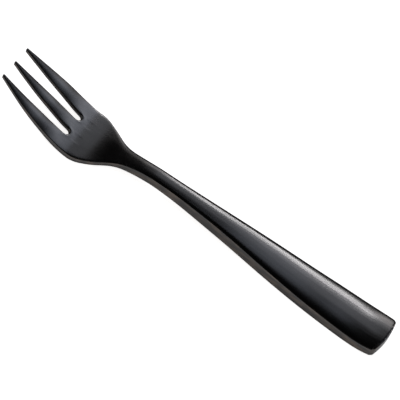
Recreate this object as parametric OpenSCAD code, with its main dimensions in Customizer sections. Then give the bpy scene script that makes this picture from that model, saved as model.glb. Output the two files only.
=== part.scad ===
// Dessert fork with three tines, forged in one piece and coated black.
// It lies along Y with the tips at +Y, is centred on X and Y, and rests on z = 0.

/* [Lengths] */
// From the end of the handle to the tips of the tines
overall_len = 150; // [130:1:190]
// From the narrowest point of the neck to the tips
head_len = 60.2; // [52:0.1:70]
// From the broadest point of the head to the tips
broad_len = 31.7; // [29:0.1:36]
// From the root of the slots to the tips
tine_len = 26.9; // [20:0.1:28]
// From the end of the handle to its broadest point
end_len = 4.5; // [4:0.5:10]
// From the end of the handle to the flat stretch of its back
rest_start = 12; // [8:0.5:16]
// Length of that flat stretch
rest_len = 12; // [8:0.5:18]

/* [Widths] */
// Handle at its end, before the corners are rounded
end_w = 15.5; // [10:0.1:20]
// Handle at its broadest
handle_w = 16.5; // [10:0.1:20]
// Handle halfway to the neck
grip_w = 12; // [8:0.1:16]
// Handle where it runs out into the neck
stem_w = 8.6; // [6:0.1:12]
// Neck at its narrowest
neck_w = 5.8; // [4:0.1:8]
// Throat, where the neck opens into the head
throat_w = 8.2; // [6:0.1:11]
// Shoulders of the head
shoulder_w = 15; // [12:0.1:18]
// Head at its broadest
head_w = 22.2; // [18:0.1:26]
// Across the outer tines, halfway between the broadest point and the tips
spread_w = 21; // [16:0.1:25]
// Across the outer tines at their tips
tips_w = 15.2; // [12:0.1:20]

/* [Tines] */
// Width of the middle tine at its root
mid_tine_w = 4.95; // [3:0.1:5.5]
// Width of each slot at its root
slot_w = 2.6; // [2:0.1:4]
// Width of each tine at its tip
tip_w = 0.9; // [0.8:0.1:2]
// Radius of the corners of each tip
tip_r = 0.4; // [0.2:0.05:0.5]
// How late the tines narrow, where 1 is evenly from root to tip
taper = 1.8; // [1:0.1:2.5]

/* [Underside] */
// Height of the underside at the end of the handle
end_rise = 1.2; // [0:0.05:2]
// Height of the underside where the handle runs out into the neck
stem_rise = 1.75; // [0:0.05:5]
// Height of the underside at the neck, the top of the arch
arch_rise = 3; // [0:0.1:8]
// Height of the underside at the crest, where the neck starts to fall
crest_rise = 2.65; // [0:0.05:7]
// Height of the underside at the throat
throat_rise = 1.65; // [0:0.05:5]
// Height of the underside at the foot of the throat, where the head starts
foot_rise = 0.25; // [0:0.05:2]
// Height of the underside halfway between the broadest point and the tips
sweep_rise = 4.55; // [1:0.05:8]
// Height of the underside of the tips
tip_rise = 11.1; // [4:0.1:18]

/* [Thickness] */
// Handle at its end
end_t = 4.1; // [2:0.05:5]
// Handle halfway to the neck
grip_t = 4.6; // [2:0.05:6]
// Handle where it runs out into the neck
stem_t = 4.5; // [2:0.05:6]
// Neck
neck_t = 3.4; // [2:0.05:5]
// Crest
crest_t = 3.3; // [2:0.05:5]
// Throat
throat_t = 2.6; // [1.4:0.05:4]
// Foot of the throat
foot_t = 1.95; // [1:0.05:3]
// Head at its broadest
head_t = 1.9; // [1:0.05:3]
// Tines at their tips
tip_t = 1.25; // [0.6:0.05:2]

/* [Surface] */
// Slope of the top at the sides of the handle near its end, in degrees
end_camber = 17.5; // [0:0.5:20]
// Slope of the top at the sides of the neck, in degrees
neck_camber = 15.5; // [0:0.5:20]
// Slope of the top at the sides of the head, in degrees
head_camber = 1.5; // [0:0.5:8]
// Fall of the top of a tine from its middle to its sides
tine_crown = 0.2; // [0:0.05:0.4]
// Width of the rounded top edges at the sides of the handle's end
end_edge_w = 1.2; // [0.4:0.1:1.6]
// The same halfway to the neck
grip_edge_w = 1; // [0.4:0.05:1.5]
// The same at the neck
neck_edge_w = 0.7; // [0.3:0.05:1.2]
// The same on the head
head_edge_w = 0.7; // [0.2:0.05:0.8]
// The same halfway along the tines
tine_edge_w = 0.4; // [0.15:0.05:0.6]
// The same at the tips
tip_edge_w = 0.25; // [0.1:0.05:0.4]
// Deepest that these edges fall
edge_fall = 1.2; // [0.3:0.05:1.6]
// Radius of the edges of the back
back_edge_r = 0.35; // [0.15:0.05:0.6]
// Radius of the top edge of the handle's end face
end_lip_r = 0.6; // [0.2:0.05:1]
// Radius of the two corners at the end of the handle
end_r = 1.4; // [1.3:0.1:4]
// Bow of the end of the handle across its width
end_bow = 1.2; // [0:0.1:3]

/* [Hidden] */

// Places of the stem, crest, throat, shoulders and foot, as shares of the way along the handle or the head
stem_share = 0.7;
crest_share = 0.19;
throat_share = 0.5;
shoulder_share = 0.7;
foot_share = 0.8;

// How late the top falls from its middle to its sides, where 2 is an even arc
camber_power = 2.5;

// Stations along the fork
y_end = -overall_len / 2;
y_tip = overall_len / 2;
y_neck = y_tip - head_len;
y_broad = y_tip - broad_len;
y_sweep = y_tip - broad_len / 2;
y_grip = (y_end + y_neck) / 2;
y_stem = y_end + stem_share * (y_neck - y_end);
y_crest = y_neck + crest_share * (y_broad - y_neck);
y_throat = y_neck + throat_share * (y_broad - y_neck);
y_shoulder = y_neck + shoulder_share * (y_broad - y_neck);
y_foot = y_neck + foot_share * (y_broad - y_neck);

// Round root of each slot
slot_r = slot_w / 2;
slot_x = mid_tine_w / 2 + slot_r;
y_split = y_tip - tine_len + slot_r;

// Half widths, heights, thicknesses and roundings, each as [y, value] at the stations
half_widths = [
    [y_end, end_w / 2],
    [y_end + end_len, handle_w / 2],
    [y_grip, grip_w / 2],
    [y_stem, stem_w / 2],
    [y_neck, neck_w / 2],
    [y_throat, throat_w / 2],
    [y_shoulder, shoulder_w / 2],
    [y_broad, head_w / 2],
    [y_sweep, spread_w / 2],
    [y_tip, tips_w / 2]
];
undersides = [
    [y_end, end_rise],
    [y_end + rest_start, 0],
    [y_end + rest_start + rest_len, 0],
    [y_stem, stem_rise],
    [y_neck, arch_rise],
    [y_crest, crest_rise],
    [y_throat, throat_rise],
    [y_foot, foot_rise],
    [y_broad, 0],
    [y_sweep, sweep_rise],
    [y_tip, tip_rise]
];
thicknesses = [
    [y_end, end_t],
    [y_grip, grip_t],
    [y_stem, stem_t],
    [y_neck, neck_t],
    [y_crest, crest_t],
    [y_throat, throat_t],
    [y_foot, foot_t],
    [y_broad, head_t],
    [y_tip, tip_t]
];
cambers = [
    [y_end, tan(end_camber)],
    [y_neck, tan(neck_camber)],
    [y_throat, tan(neck_camber)],
    [y_foot, tan(head_camber)],
    [y_broad, tan(head_camber)],
    [y_tip, 0]
];
edges = [
    [y_end, end_edge_w],
    [y_grip, grip_edge_w],
    [y_neck, neck_edge_w],
    [y_broad, head_edge_w],
    [y_sweep, tine_edge_w],
    [y_tip, tip_edge_w]
];

// Rows of the surface along the fork, and the rows over which the tops of the tines turn convex
corner_rows = 4;
handle_rows = 25;
head_rows = 28;
tine_rows = 12;
tip_rows = 3;
crown_rows = 4;
body_rows = corner_rows + handle_rows + head_rows;
end_rows = tine_rows + tip_rows;

// Columns of the surface across a tine and round the root of a slot
tine_cols = 4;
slot_cols = 6;
body_cols = 3 * tine_cols + 2 * slot_cols;

// Stretches over which the bow of the end and the roots of the slots bend the rows
bow_len = 14;
root_len = 9;

// Shares of the half width and thickness there that an edge may take
edge_share_w = 0.75;
edge_share_t = 0.45;

// Rings round the rim, as [angle down from the top, or up from the bottom, true at the top]
rings = [[45, true], [90, true], [90, false], [45, false]];

// Most that a curve's slope may be, as a multiple of the straight line to the next point
slope_cap = 3;

function mix(a, b, share) = a + (b - a) * share;
function clamp(v) = min(max(v, 0), 1);

// Smooth curve through the points p, which never swings past them
function span(p, k) = p[k + 1][0] - p[k][0];
function secant(p, k) = (p[k + 1][1] - p[k][1]) / span(p, k);
function inner_slope(p, k) =
    let (before = secant(p, k - 1))
    let (after = secant(p, k))
    let (even = (before * span(p, k) + after * span(p, k - 1)) / (span(p, k - 1) + span(p, k)))
    before * after <= 0 ? 0 : sign(even) * min(abs(even), slope_cap * abs(before), slope_cap * abs(after));
function slope(p, k) =
    k == 0 ? (3 * secant(p, 0) - inner_slope(p, 1)) / 2
    : k == len(p) - 1 ? (3 * secant(p, k - 1) - inner_slope(p, k - 1)) / 2
    : inner_slope(p, k);
function segment(p, y, k = 0) = k == len(p) - 2 || y <= p[k + 1][0] ? k : segment(p, y, k + 1);
function curve(p, y) =
    let (k = segment(p, y))
    let (h = span(p, k))
    let (u = (y - p[k][0]) / h)
    let (ends = mix(p[k][1], p[k + 1][1], u * u * (3 - 2 * u)))
    ends + h * u * (1 - u) * ((1 - u) * slope(p, k) - u * slope(p, k + 1));

// Half widths of the whole fork and of its tines at y
function half_w(y) = curve(half_widths, y);
function along_tine(y) = clamp((y - y_split) / (y_tip - y_split));
function mid_half_w(y) = mix(mid_tine_w, tip_w, pow(along_tine(y), taper)) / 2;
function outer_inside(y) = mix(slot_x + slot_r, tips_w / 2 - tip_w, along_tine(y));

// Underside and top of the fork at a point
function across(x, y) = abs(x) / half_w(y);
function low(y) = curve(undersides, y);
function camber_fall(x, y) = curve(cambers, y) * half_w(y) / camber_power * pow(across(x, y), camber_power);
function high(x, y) = low(y) + curve(thicknesses, y) - camber_fall(x, y);

// Width of the rounded rim of the top or the back at y, where the metal is wide by half_width each way
function rim_w(y, half_width, back) =
    min(back ? min(back_edge_r, curve(edges, y)) : curve(edges, y), edge_share_w * half_width);

// Most that a rim may fall at y
function wall_t(y) = curve(thicknesses, y) - camber_fall(half_w(y), y);
function rim_fall(y) = min(edge_fall, edge_share_t * wall_t(y));

// Point where column j crosses the line of the slot roots, at an inset e from the rim
function root_point(j, e) =
    let (c = abs(j - body_cols / 2))
    let (side = sign(j - body_cols / 2))
    let (in_slot = c - tine_cols / 2)
    let (in_tine = in_slot - slot_cols)
    let (turn = 180 * in_slot / slot_cols)
    in_slot <= 0 ? [side * (mid_tine_w / 2 - e) * c * 2 / tine_cols, 0]
    : in_tine <= 0 ? [side * (slot_x - (slot_r + e) * cos(turn)), -(slot_r + e) * sin(turn)]
    : [side * mix(slot_x + slot_r + e, half_w(y_split) - e, in_tine / tine_cols), 0];

// Place of row i along the body, without the bow and the roots
y_corner = y_end + end_r;
function body_y(i) =
    i <= corner_rows ? y_corner
    : i <= corner_rows + handle_rows ? mix(y_corner, y_neck, (i - corner_rows) / handle_rows)
    : mix(y_neck, y_split, (i - corner_rows - handle_rows) / head_rows);

// Point of the body in plan, at a share of the rim's width in from the outline
function body_point(i, j, share, back) =
    let (turn = 90 * min(i, corner_rows) / corner_rows)
    let (side_e = share * rim_w(body_y(i), half_w(body_y(i)), back))
    let (corner_r = end_r - share * (back ? min(back_edge_r, end_lip_r) : end_lip_r))
    let (y = body_y(i) - corner_r * cos(turn))
    let (half = half_w(body_y(i)) - side_e - corner_r * (1 - sin(turn)))
    let (root_e = share * rim_w(y_split, mid_tine_w / 2, back))
    let (root = root_point(j, root_e))
    let (x = half * root[0] / (half_w(y_split) - root_e))
    let (bow = end_bow * pow(across(x, body_y(i)), 2) * pow(1 - clamp((y - y_end) / bow_len), 2))
    let (dip = root[1] * clamp((y - y_split + root_len) / root_len))
    [x, y + bow + dip];

// Point of a tine in plan: k is 1, 2 or 3 from the left, i counts from the slot roots
function tine_side(k, y, outer) =
    k == 2 ? (outer ? 1 : -1) * mid_half_w(y)
    : (k - 2) * (outer == (k == 3) ? half_w(y) : outer_inside(y));
function tine_point(k, i, c, share, back) =
    let (turn = 90 * min(end_rows - i, tip_rows) / tip_rows)
    let (base = mix(y_split, y_tip - tip_r, min(i / tine_rows, 1)))
    let (half = (tine_side(k, base, true) - tine_side(k, base, false)) / 2)
    let (middle = (tine_side(k, base, true) + tine_side(k, base, false)) / 2)
    let (r = min(tip_r, half))
    let (e = share * min(rim_w(base, half, back), i < tine_rows ? half : edge_share_w * r))
    let (reach = half - e - (r - e) * (1 - sin(turn)))
    [middle + reach * (2 * c / tine_cols - 1), base + (r - e) * cos(turn)];

// Every point has an address: [0, row, column] on the body, [tine, row, column] on a tine
function first_col(k) = (k - 1) * (tine_cols + slot_cols);
function tine_address(k, i, c) = i == 0 ? [0, body_rows, first_col(k) + c] : [k, i, c];
function plan(at, share, back = false) =
    at[0] == 0 ? body_point(at[1], at[2], share, back) : tine_point(at[0], at[1], at[2], share, back);

// Fall of a tine's top from its middle, which shrinks with the tine's width
function tine_w(k, i) = plan([k, i, tine_cols], 1)[0] - plan([k, i, 0], 1)[0];
function crown(at) =
    let (depth = tine_crown * min(1, at[1] / crown_rows))
    at[0] == 0 ? 0 : depth * tine_w(at[0], at[1]) / mid_tine_w * pow(2 * at[2] / tine_cols - 1, 2);

addresses = concat(
    [for (i = [0:body_rows], j = [0:body_cols]) [0, i, j]],
    [for (k = [1:3], i = [1:end_rows], c = [0:tine_cols]) [k, i, c]]
);
sheet_size = len(addresses);
body_size = (body_rows + 1) * (body_cols + 1);
function index(at) =
    at[0] == 0 ? at[1] * (body_cols + 1) + at[2]
    : body_size + ((at[0] - 1) * end_rows + at[1] - 1) * (tine_cols + 1) + at[2];

// The rim, once round: the end of the handle, the right side, the tines and the left side
function round_tine(k) = concat(
    [for (i = [0:end_rows]) tine_address(k, i, tine_cols)],
    [for (c = [tine_cols - 1:-1:1]) tine_address(k, end_rows, c)],
    [for (i = [end_rows:-1:0]) tine_address(k, i, 0)]
);
function round_slot(k) = [for (j = [slot_cols - 1:-1:1]) [0, body_rows, first_col(k) + tine_cols + j]];
rim = concat(
    [for (j = [0:body_cols]) [0, 0, j]],
    [for (i = [1:body_rows - 1]) [0, i, body_cols]],
    round_tine(3),
    round_slot(2),
    round_tine(2),
    round_slot(1),
    round_tine(1),
    [for (i = [body_rows - 1:-1:1]) [0, i, 0]]
);
rim_size = len(rim);

// Points of the top, the underside and the rings between them
function top_point(at) =
    let (p = plan(at, 1))
    [p[0], p[1], high(p[0], p[1]) - crown(at)];
function bottom_point(at) =
    let (p = plan(at, 1, true))
    [p[0], p[1], low(p[1])];
function ring_point(at, ring) =
    let (inner = plan(at, 1, !ring[1]))
    let (outer = plan(at, 0))
    let (p = mix(inner, outer, sin(ring[0])))
    let (fall = min(norm(outer - inner), rim_fall(outer[1])) * (1 - cos(ring[0])))
    let (z = ring[1] ? top_point(at)[2] - fall : bottom_point(at)[2] + fall)
    [p[0], p[1], z];
points = concat(
    [for (at = addresses) top_point(at)],
    [for (at = addresses) bottom_point(at)],
    [for (ring = rings, at = rim) ring_point(at, ring)]
);

// Four-sided patches of the sheet, each cut in two so that the rounded corners stay even
function patch(part, i, j) = [
    index(part == 0 ? [0, i, j] : tine_address(part, i, j)),
    index(part == 0 ? [0, i + 1, j] : tine_address(part, i + 1, j)),
    index(part == 0 ? [0, i + 1, j + 1] : tine_address(part, i + 1, j + 1)),
    index(part == 0 ? [0, i, j + 1] : tine_address(part, i, j + 1))
];
function halves(q, other_way = false) =
    other_way ? [[q[0], q[1], q[3]], [q[1], q[2], q[3]]] : [[q[0], q[1], q[2]], [q[0], q[2], q[3]]];
sheet = concat(
    [for (i = [0:body_rows - 1], j = [0:body_cols - 1])
        for (t = halves(patch(0, i, j), j >= body_cols / 2)) t],
    [for (k = [1:3], i = [0:end_rows - 1], j = [0:tine_cols - 1])
        for (t = halves(patch(k, i, j), j < tine_cols / 2)) t]
);
function rim_point(level, n) =
    let (at = rim[n % rim_size])
    level == 0 ? index(at)
    : level == len(rings) + 1 ? sheet_size + index(at)
    : 2 * sheet_size + (level - 1) * rim_size + n % rim_size;
faces = concat(
    sheet,
    [for (t = sheet) [for (n = [2:-1:0]) t[n] + sheet_size]],
    [for (level = [0:len(rings)], n = [0:rim_size - 1])
        for (t = halves([
            rim_point(level, n),
            rim_point(level, n + 1),
            rim_point(level + 1, n + 1),
            rim_point(level + 1, n)
        ])) t]
);

module fork() {
    color([0.09, 0.09, 0.1])
        polyhedron(points = points, faces = faces);
}

fork();
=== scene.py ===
import math

import bmesh
import bpy
from mathutils import Matrix, Vector


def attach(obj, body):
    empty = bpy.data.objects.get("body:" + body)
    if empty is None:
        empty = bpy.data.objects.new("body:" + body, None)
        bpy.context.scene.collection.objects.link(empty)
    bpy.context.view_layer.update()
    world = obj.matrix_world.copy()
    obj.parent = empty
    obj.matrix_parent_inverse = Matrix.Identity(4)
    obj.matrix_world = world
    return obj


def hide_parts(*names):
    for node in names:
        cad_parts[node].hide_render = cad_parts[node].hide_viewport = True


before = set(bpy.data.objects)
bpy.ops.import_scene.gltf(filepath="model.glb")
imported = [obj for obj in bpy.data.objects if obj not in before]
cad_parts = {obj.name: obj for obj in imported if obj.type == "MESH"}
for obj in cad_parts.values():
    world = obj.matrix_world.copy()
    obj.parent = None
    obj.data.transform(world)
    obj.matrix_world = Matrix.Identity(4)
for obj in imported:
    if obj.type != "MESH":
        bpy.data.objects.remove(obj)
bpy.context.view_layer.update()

mm = 0.001
quarterTurn = math.pi / 2
print("frame loaded")

# camera at the photograph's angle
photoCamera = {
    "target": (2.8, 0.636, 4.0),  # what sits at the middle of the picture, in mm
    "azimuth": -78.952,
    "elevation": 51.143,
    "roll": 25.974,
    "distance": 1500,
    "lens": 417.04,
    "sensorWidth": 36,
    "clipEnd": 20,  # in m
}


def addCamera(view):
    around, above, roll = (math.radians(view[k]) for k in ("azimuth", "elevation", "roll"))
    level = math.cos(above)
    back = Vector((math.sin(around) * level, -math.cos(around) * level, math.sin(above)))
    right = Vector((math.cos(around), math.sin(around), 0))
    facing = Matrix((right, back.cross(right), back)).transposed() @ Matrix.Rotation(roll, 3, "Z")
    data = bpy.data.cameras.new("photoCamera")
    data.lens = view["lens"]
    data.sensor_width = view["sensorWidth"]
    data.clip_end = view["clipEnd"]
    camera = bpy.data.objects.new("photoCamera", data)
    place = (Vector(view["target"]) + back * view["distance"]) * mm
    camera.matrix_world = Matrix.Translation(place) @ facing.to_4x4()
    bpy.context.scene.collection.objects.link(camera)
    bpy.context.scene.camera = camera


addCamera(photoCamera)
print("camera set")

# the fork lies along Y with its tips at +Y; places and sizes in mm, slopes as plain ratios
forkShape = {
    "halfWidth": [(-75, 7.75), (-70.5, 8.25), (-30.1, 6), (-12.14, 4.3), (14.8, 2.9), (29.05, 4.1),
                  (34.75, 7.5), (43.3, 11.1), (59.15, 10.5), (75, 7.6)],
    "underside": [(-75, 1.2), (-63, 0), (-51, 0), (-12.14, 1.75), (14.8, 3), (20.215, 2.65), (29.05, 1.65),
                  (37.6, 0.25), (43.3, 0), (59.15, 4.55), (75, 11.1)],
    "thickness": [(-75, 4.1), (-30.1, 4.6), (-12.14, 4.5), (14.8, 3.4), (20.215, 3.3), (29.05, 2.6),
                  (37.6, 1.95), (43.3, 1.9), (75, 1.25)],
    # slope of the top at its sides
    "camber": [(-75, 0.315), (14.8, 0.277), (29.05, 0.277), (37.6, 0.026), (43.3, 0.026), (75, 0)],
    "camberPower": 2.5,
    "edge": [(-75, 1.2), (-30.1, 1), (14.8, 0.7), (43.3, 0.7), (59.15, 0.4), (75, 0.25)],
    "edgeFall": 1.2,
    "edgeShare": 0.75,  # most that an eased edge takes of half a width
    "fallShare": 0.45,  # most that it takes of the wall below it
    "backEdge": 0.35,
    "endLip": 0.6,
    "endCorner": 1.4,
    "endBow": 1.2,
    "bowReach": 14,
    "split": 49.4,  # where the round roots of the slots end and the tines run free
    "rootReach": 9,
    "midTine": 4.95,
    "slot": 2.6,
    "tipWidth": 0.9,
    "tipCorner": 0.4,
    "tipReach": 1,  # length over which the edges follow the rounding of the tip
    "taper": 1.8,
    "tineCrown": 0.2,
    "crownRise": 6,  # length over which the tops of the tines turn convex
    "cornerRows": 3,
    "handleRows": [-69, -62, -54, -46, -38, -30, -22, -14, -6, 2, 9, 15],
    "headRows": [18, 20.5, 22.5, 25, 28, 31.5, 35, 38, 40.5, 43, 45.5, 47.8],
    "tineRows": [51.5, 54.5, 58, 62, 66, 70, 73, 74.6],
    "tipRows": 2,
    "tineColumns": 2,
    "slotColumns": 4,
    "pullRounds": 4,
    "smoothing": 2,
}

steepest = 3  # times the rise on either side of a pair


def flow(line, y):
    # smooth line through the pairs that never swings past them
    def rise(k):
        return (line[k + 1][1] - line[k][1]) / (line[k + 1][0] - line[k][0])

    def lean(k):
        if k in (0, len(line) - 1):
            inner, near = (1, 0) if k == 0 else (len(line) - 2, len(line) - 2)
            return (3 * rise(near) - lean(inner)) / 2
        before, after = rise(k - 1), rise(k)
        if before * after <= 0:
            return 0
        back, ahead = line[k][0] - line[k - 1][0], line[k + 1][0] - line[k][0]
        even = (before * ahead + after * back) / (back + ahead)
        return math.copysign(min(abs(even), steepest * abs(before), steepest * abs(after)), even)

    k = 0
    while k < len(line) - 2 and y > line[k + 1][0]:
        k += 1
    span = line[k + 1][0] - line[k][0]
    u = (y - line[k][0]) / span
    ends = line[k][1] + (line[k + 1][1] - line[k][1]) * u * u * (3 - 2 * u)
    return ends + span * u * (1 - u) * ((1 - u) * lean(k) - u * lean(k + 1))


def clamp(v):
    return min(max(v, 0), 1)


def halfWidth(s, y):
    return flow(s["halfWidth"], y)


def rimWidth(s, y, half, back):
    width = flow(s["edge"], y)
    return min(min(width, s["backEdge"]) if back else width, s["edgeShare"] * half)


def camberFall(s, x, y):
    half, power = halfWidth(s, y), s["camberPower"]
    return flow(s["camber"], y) * half / power * (abs(x) / half) ** power


def rimFall(s, y):
    wall = flow(s["thickness"], y) - camberFall(s, halfWidth(s, y), y)
    return min(s["edgeFall"], s["fallShare"] * wall)


def lowAt(s, y):
    return flow(s["underside"], y)


def highAt(s, x, y):
    return lowAt(s, y) + flow(s["thickness"], y) - camberFall(s, x, y)


def tineSides(s, tine, y):
    # inner and outer side of a tine, counted -1, 0 and 1 from the left
    tip = s["halfWidth"][-1]
    along = clamp((y - s["split"]) / (tip[0] - s["split"]))
    if tine == 0:
        half = (s["midTine"] + (s["tipWidth"] - s["midTine"]) * along ** s["taper"]) / 2
        return -half, half
    inner = s["midTine"] / 2 + s["slot"]
    inner += (tip[1] - s["tipWidth"] - inner) * along
    return tuple(sorted((tine * inner, tine * halfWidth(s, y))))


def bodyColumns(s):
    return 3 * s["tineColumns"] + 2 * s["slotColumns"]


def rootPlace(s, column, inset):
    # where a column crosses the line of the slot roots
    middle = bodyColumns(s) / 2
    out = abs(column - middle)
    side = math.copysign(1, column - middle)
    intoSlot = out - s["tineColumns"] / 2
    intoTine = intoSlot - s["slotColumns"]
    radius = s["slot"] / 2
    slotMiddle = s["midTine"] / 2 + radius
    if intoSlot <= 0:
        return side * (s["midTine"] / 2 - inset) * out * 2 / s["tineColumns"], 0
    if intoTine <= 0:
        turn = math.pi * intoSlot / s["slotColumns"]
        return side * (slotMiddle - (radius + inset) * math.cos(turn)), -(radius + inset) * math.sin(turn)
    first, last = slotMiddle + radius + inset, halfWidth(s, s["split"]) - inset
    return side * (first + (last - first) * intoTine / s["tineColumns"]), 0


def bodyPlace(s, y, turn, column, share, back):
    end = s["halfWidth"][0][0]
    half = halfWidth(s, y)
    inset = share * rimWidth(s, y, half, back)
    corner = s["endCorner"] - share * (min(s["backEdge"], s["endLip"]) if back else s["endLip"])
    rootInset = share * rimWidth(s, s["split"], s["midTine"] / 2, back)
    rootX, rootY = rootPlace(s, column, rootInset)
    reach = half - inset - corner * (1 - math.sin(turn))
    x = reach * rootX / (halfWidth(s, s["split"]) - rootInset)
    along = y - corner * math.cos(turn)
    bow = s["endBow"] * (x / half) ** 2 * (1 - clamp((along - end) / s["bowReach"])) ** 2
    dip = rootY * clamp((along - s["split"] + s["rootReach"]) / s["rootReach"])
    return x, along + bow + dip


def tinePlace(s, tine, y, turn, column, share, back):
    tipStart = s["halfWidth"][-1][0] - s["tipReach"]
    inner, outer = tineSides(s, tine, y)
    half, middle = (outer - inner) / 2, (outer + inner) / 2
    corner = min(s["tipCorner"], half)
    room = half if turn >= quarterTurn and y < tipStart else s["edgeShare"] * corner
    inset = share * min(rimWidth(s, y, half, back), room)
    reach = half - inset - (corner - inset) * (1 - math.sin(turn))
    across = 2 * column / s["tineColumns"] - 1
    return middle + reach * across, y + (corner - inset) * math.cos(turn), reach, across


# levels of a section: top sheet, the rounded rim in four rings, back sheet
rimTurns = [0, 45, 90, 90, 45, 0]


def settle(s, vert, column, level, row):
    tine, y, turn = row
    angle = math.radians(rimTurns[level])
    share = 1 - math.sin(angle)
    back = level > 2
    drop = 0
    if tine is None:
        x, along = bodyPlace(s, y, turn, column, share, back)
        inX, inY = bodyPlace(s, y, turn, column, 1, back)
        outX, outY = bodyPlace(s, y, turn, column, 0, back)
    else:
        x, along = tinePlace(s, tine, y, turn, column, share, back)[:2]
        inX, inY, reach, across = tinePlace(s, tine, y, turn, column, 1, back)
        outX, outY = tinePlace(s, tine, y, turn, column, 0, back)[:2]
        fade = clamp((y - s["split"]) / s["crownRise"])
        drop = s["tineCrown"] * fade * 2 * reach / s["midTine"] * across ** 2
    fall = min(math.hypot(outX - inX, outY - inY), rimFall(s, outY)) * (1 - math.cos(angle))
    if back:
        z = lowAt(s, inY) + fall
    else:
        z = highAt(s, inX, inY) - drop - fall
    vert.co = Vector((x, along, z)) * mm


def drawOut(bm, faces, keep=False):
    moved = bmesh.ops.extrude_face_region(bm, geom=faces)["geom"]
    if not keep:
        bmesh.ops.delete(bm, geom=faces, context="FACES")
    return [f for f in moved if isinstance(f, bmesh.types.BMFace)]


def pullThrough(bm, rounds):
    # shift the cage until its smoothed surface passes through the points that were laid
    aims = {v: v.co.copy() for v in bm.verts}
    for _ in range(rounds):
        misses = {}
        for v, aim in aims.items():
            n = len(v.link_edges)
            beside = sum((e.other_vert(v).co for e in v.link_edges), Vector())
            across = sum((c.link_loop_next.link_loop_next.vert.co for c in v.link_loops), Vector())
            misses[v] = aim - (n * n * v.co + 4 * beside + across) / (n * (n + 5))
        for v, miss in misses.items():
            v.co += miss


def makeFork(s):
    columns, levels = bodyColumns(s), len(rimTurns) - 1
    bm = bmesh.new()
    columnOf = bm.verts.layers.int.new("column")
    levelOf = bm.verts.layers.int.new("level")
    rimOf = bm.verts.layers.float.new("rim")
    bmesh.ops.create_grid(bm, x_segments=columns, y_segments=levels, size=1)
    for v in bm.verts:
        v[columnOf] = round((v.co.x + 1) / 2 * columns)
        v[levelOf] = round((1 - v.co.y) / 2 * levels)
        v[rimOf] = 1 if v[levelOf] in (1, 2, 3, 4) else 0

    def lay(faces, row, first=0):
        for v in {v for f in faces for v in f.verts}:
            settle(s, v, v[columnOf] - first, v[levelOf], row)

    # end of the handle, then along the body to the roots of the slots
    corner = s["halfWidth"][0][0] + s["endCorner"]
    rows = [(None, corner, quarterTurn * k / s["cornerRows"]) for k in range(s["cornerRows"] + 1)]
    rows += [(None, y, quarterTurn) for y in s["handleRows"] + s["headRows"] + [s["split"]]]
    front = list(bm.faces)
    lay(front, rows[0])
    for k, row in enumerate(rows[1:]):
        front = drawOut(bm, front, keep=k == 0)
        lay(front, row)

    # three tines out of the same front
    starts = [k * (s["tineColumns"] + s["slotColumns"]) for k in range(3)]
    roots = [
        [f for f in front if all(first <= v[columnOf] <= first + s["tineColumns"] for v in f.verts)]
        for first in starts
    ]
    for tine, first, faces in zip((-1, 0, 1), starts, roots):
        tip = s["halfWidth"][-1][0] - s["tipCorner"]
        ends = [(tine, tip, quarterTurn * (1 - k / s["tipRows"])) for k in range(1, s["tipRows"] + 1)]
        for row in [(tine, y, quarterTurn) for y in s["tineRows"]] + ends:
            faces = drawOut(bm, faces)
            lay(faces, row, first)
    bmesh.ops.recalc_face_normals(bm, faces=bm.faces)
    pullThrough(bm, s["pullRounds"])
    mesh = bpy.data.meshes.new("forkBody")
    bm.to_mesh(mesh)
    loose = sum(1 for e in bm.edges if len(e.link_faces) != 2)
    bm.free()
    for f in mesh.polygons:
        f.use_smooth = True
    fork = bpy.data.objects.new("forkBody", mesh)
    bpy.context.scene.collection.objects.link(fork)
    smooth = fork.modifiers.new("smooth", "SUBSURF")
    smooth.levels = smooth.render_levels = s["smoothing"]
    print("fork cage:", len(mesh.polygons), "faces,", loose, "open edges")
    return fork


fork = makeFork(forkShape)

# black coated steel with a fine satin grain along the fork
blackSteel = {
    "dark": (0.049, 0.0475, 0.047, 1),
    "light": (0.072, 0.0695, 0.069, 1),
    # tone of worn coating that also paints a sheen on the edges and sides
    "wornAndSheen": (0.1, 0.086, 0.077, 1),
    "grazing": (0.6, 0.6, 0.6, 1),
    "grainScale": (1800, 9, 1800),
    "grainDetail": 4,
    "grainDepth": 0.0000004,
    "roughness": (0.19, 0.202),
    "patchScale": (700, 180, 700),
    "patchDetail": 3,
    "patchSpan": (0.42, 0.66),
    "handling": (-0.01, 0.015),  # change of roughness
    "handlingScale": (160, 60, 160),
    "handlingDetail": 2,
    "handlingSpan": (0.2, 0.8),
}


def addNoise(nodes, links, place, scale, detail):
    stretch = nodes.new("ShaderNodeMapping")
    stretch.inputs["Scale"].default_value = scale
    links.new(place.outputs["Object"], stretch.inputs["Vector"])
    noise = nodes.new("ShaderNodeTexNoise")
    noise.inputs["Scale"].default_value = 1
    noise.inputs["Detail"].default_value = detail
    links.new(stretch.outputs["Vector"], noise.inputs["Vector"])
    return noise.outputs["Fac"]


def addRange(nodes, links, value, span, limits):
    scaled = nodes.new("ShaderNodeMapRange")
    scaled.inputs["From Min"].default_value, scaled.inputs["From Max"].default_value = span
    scaled.inputs["To Min"].default_value, scaled.inputs["To Max"].default_value = limits
    links.new(value, scaled.inputs["Value"])
    return scaled.outputs["Result"]


def addMath(nodes, links, operation, first, second):
    worked = nodes.new("ShaderNodeMath")
    worked.operation = operation
    links.new(first, worked.inputs[0])
    links.new(second, worked.inputs[1])
    return worked.outputs["Value"]


def addScale(nodes, links, value, factor):
    scaled = nodes.new("ShaderNodeMath")
    scaled.operation = "MULTIPLY"
    scaled.inputs[1].default_value = factor
    links.new(value, scaled.inputs[0])
    return scaled.outputs["Value"]


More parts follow.
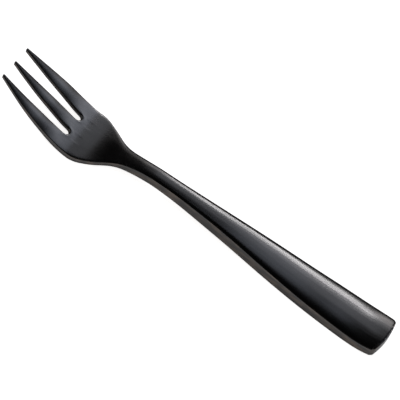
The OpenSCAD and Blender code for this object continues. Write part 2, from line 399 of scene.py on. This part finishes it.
def addBlackSteel(finish):
    steel = bpy.data.materials.new("blackSteel")
    steel.use_nodes = True
    nodes, links = steel.node_tree.nodes, steel.node_tree.links
    shader = nodes["Principled BSDF"]
    shader.inputs["Metallic"].default_value = 1
    shader.inputs["Specular Tint"].default_value = finish["grazing"]
    place = nodes.new("ShaderNodeTexCoord")
    grain = addNoise(nodes, links, place, finish["grainScale"], finish["grainDetail"])
    # lighter, warmer tone in patches over the rounded edges and side walls, partly worn coating and partly
    # painted sheen
    rim = nodes.new("ShaderNodeAttribute")
    rim.attribute_name = "rim"
    patches = addNoise(nodes, links, place, finish["patchScale"], finish["patchDetail"])
    patchShare = addRange(nodes, links, patches, finish["patchSpan"], (0, 1))
    wearAndSheen = addMath(nodes, links, "MULTIPLY", rim.outputs["Fac"], patchShare)
    tone = nodes.new("ShaderNodeMix")
    tone.data_type = "RGBA"
    tone.inputs["A"].default_value = finish["dark"]
    tone.inputs["B"].default_value = finish["light"]
    links.new(grain, tone.inputs["Factor"])
    # edges and side walls lighter in patches: worn coating with painted sheen
    edges = nodes.new("ShaderNodeMix")
    edges.data_type = "RGBA"
    edges.inputs["B"].default_value = finish["wornAndSheen"]
    links.new(wearAndSheen, edges.inputs["Factor"])
    links.new(tone.outputs["Result"], edges.inputs["A"])
    links.new(edges.outputs["Result"], shader.inputs["Base Color"])
    # satin lines, and softer patches where it is handled
    satin = addRange(nodes, links, grain, (0, 1), finish["roughness"])
    touch = addNoise(nodes, links, place, finish["handlingScale"], finish["handlingDetail"])
    handled = addRange(nodes, links, touch, finish["handlingSpan"], finish["handling"])
    links.new(addMath(nodes, links, "ADD", satin, handled), shader.inputs["Roughness"])
    relief = nodes.new("ShaderNodeBump")
    relief.inputs["Distance"].default_value = finish["grainDepth"]
    links.new(grain, relief.inputs["Height"])
    links.new(relief.outputs["Normal"], shader.inputs["Normal"])
    return steel


fork.data.materials.append(addBlackSteel(blackSteel))
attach(fork, "root")
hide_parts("fork")
print("fork finished")

# white table and soft studio light
studio = {
    "floorSize": 6,
    "floorColour": (0.8, 0.8, 0.8, 1),
    "floorRoughness": 0.9,
    "floorTint": (1, 0.99, 0.98, 1),
    "floorGlow": 0.88,
    "mirrorGlow": 0.78,
    "contactReach": 0.016,
    "world": (0.008, 0.008, 0.008, 1),
    "lampsAway": 6,
    # degrees round from +X and above the table, sizes in m, power in W
    "lamps": [
        # what the top mirrors towards the camera
        {"name": "farStrip", "around": -2, "above": 35.4, "size": (1.2, 0.52), "power": 42.5,
         "colour": (0.98, 0.985, 1)},
        {"name": "neckStrip", "around": 8, "above": 39.6, "size": (0.32, 0.64), "power": 14,
         "colour": (0.98, 0.985, 1)},
        {"name": "endCard", "around": 13, "above": 30, "size": (0.5, 0.6), "power": 3.6,
         "colour": (1, 0.95, 0.96)},
        {"name": "tineCard", "around": -15.5, "above": 33, "size": (1.1, 1.2), "power": 5.8,
         "colour": (1, 0.99, 0.99)},
        {"name": "farSoftbox", "around": -13.2, "above": 43, "size": (2.4, 1.6), "power": 24,
         "colour": (0.86, 0.9, 1)},
        {"name": "highSoftbox", "around": -18.5, "above": 54, "size": (2.55, 3), "power": 29.4,
         "colour": (0.77, 0.855, 1)},
        {"name": "sideSoftbox", "around": 12.5, "above": 45, "size": (1.43, 1.9), "power": 8.3,
         "colour": (0.84, 0.9, 1)},
        {"name": "cornerCard", "around": 24.8, "above": 48.5, "size": (0.5, 1), "power": 0.45,
         "colour": (0.95, 0.95, 1)},
        {"name": "sideCard", "around": 18, "above": 31.5, "size": (1.7, 1.8), "power": 22,
         "colour": (1, 0.99, 0.99)},
        # soft light for the other sides
        {"name": "leftFill", "around": 132, "above": 36, "size": (4, 3.4), "power": 43,
         "colour": (1, 1, 1)},
        {"name": "rightFill", "around": 236, "above": 36, "size": (4, 3.4), "power": 43,
         "colour": (1, 1, 1)},
        {"name": "headFill", "around": 85, "above": 38, "size": (3.4, 3.2), "power": 34,
         "colour": (1, 1, 1)},
        {"name": "tailFill", "around": 276, "above": 38, "size": (2.2, 3.2), "power": 22,
         "colour": (1, 1, 1)},
        {"name": "nearFill", "around": 195, "above": 22, "size": (4.8, 2.4), "power": 7.2,
         "colour": (1, 1, 1)},
    ],
}


def addFloor(look):
    mesh = bpy.data.meshes.new("floor")
    bm = bmesh.new()
    bmesh.ops.create_grid(bm, x_segments=1, y_segments=1, size=look["floorSize"] / 2)
    bm.to_mesh(mesh)
    bm.free()
    floor = bpy.data.objects.new("floor", mesh)
    bpy.context.scene.collection.objects.link(floor)
    paper = bpy.data.materials.new("whitePaper")
    paper.use_nodes = True
    nodes, links = paper.node_tree.nodes, paper.node_tree.links
    shader = nodes["Principled BSDF"]
    shader.inputs["Base Color"].default_value = look["floorColour"]
    shader.inputs["Roughness"].default_value = look["floorRoughness"]
    shader.inputs["Specular IOR Level"].default_value = 0
    shader.inputs["Emission Color"].default_value = look["floorTint"]
    # white to the camera, and in the steel but for the contact shade
    rays = nodes.new("ShaderNodeLightPath")
    contact = nodes.new("ShaderNodeAmbientOcclusion")
    contact.inputs["Distance"].default_value = look["contactReach"]
    glossy, through = rays.outputs["Is Glossy Ray"], rays.outputs["Is Transmission Ray"]
    mirrored = addMath(nodes, links, "MAXIMUM", glossy, through)
    shaded = addMath(nodes, links, "MULTIPLY", mirrored, contact.outputs["AO"])
    seen = addScale(nodes, links, shaded, look["mirrorGlow"])
    shown = addScale(nodes, links, rays.outputs["Is Camera Ray"], look["floorGlow"])
    strength = addMath(nodes, links, "MAXIMUM", shown, seen)
    links.new(strength, shader.inputs["Emission Strength"])
    floor.data.materials.append(paper)


def addLamp(lamp, away):
    data = bpy.data.lights.new(lamp["name"], "AREA")
    data.shape = "RECTANGLE"
    data.size, data.size_y = lamp["size"]
    data.energy = lamp["power"]
    data.color = lamp["colour"]
    around, above = math.radians(lamp["around"]), math.radians(lamp["above"])
    level = math.cos(above)
    toLamp = Vector((math.cos(around) * level, math.sin(around) * level, math.sin(above)))
    obj = bpy.data.objects.new(lamp["name"], data)
    obj.location = toLamp * away
    obj.rotation_euler = toLamp.to_track_quat("Z", "Y").to_euler()
    bpy.context.scene.collection.objects.link(obj)


addFloor(studio)
for lamp in studio["lamps"]:
    addLamp(lamp, studio["lampsAway"])
world = bpy.data.worlds.new("studio")
world.use_nodes = True
world.node_tree.nodes["Background"].inputs["Color"].default_value = studio["world"]
bpy.context.scene.world = world
bpy.context.scene.view_settings.view_transform = "Standard"
print("studio lit")

bpy.context.view_layer.update()
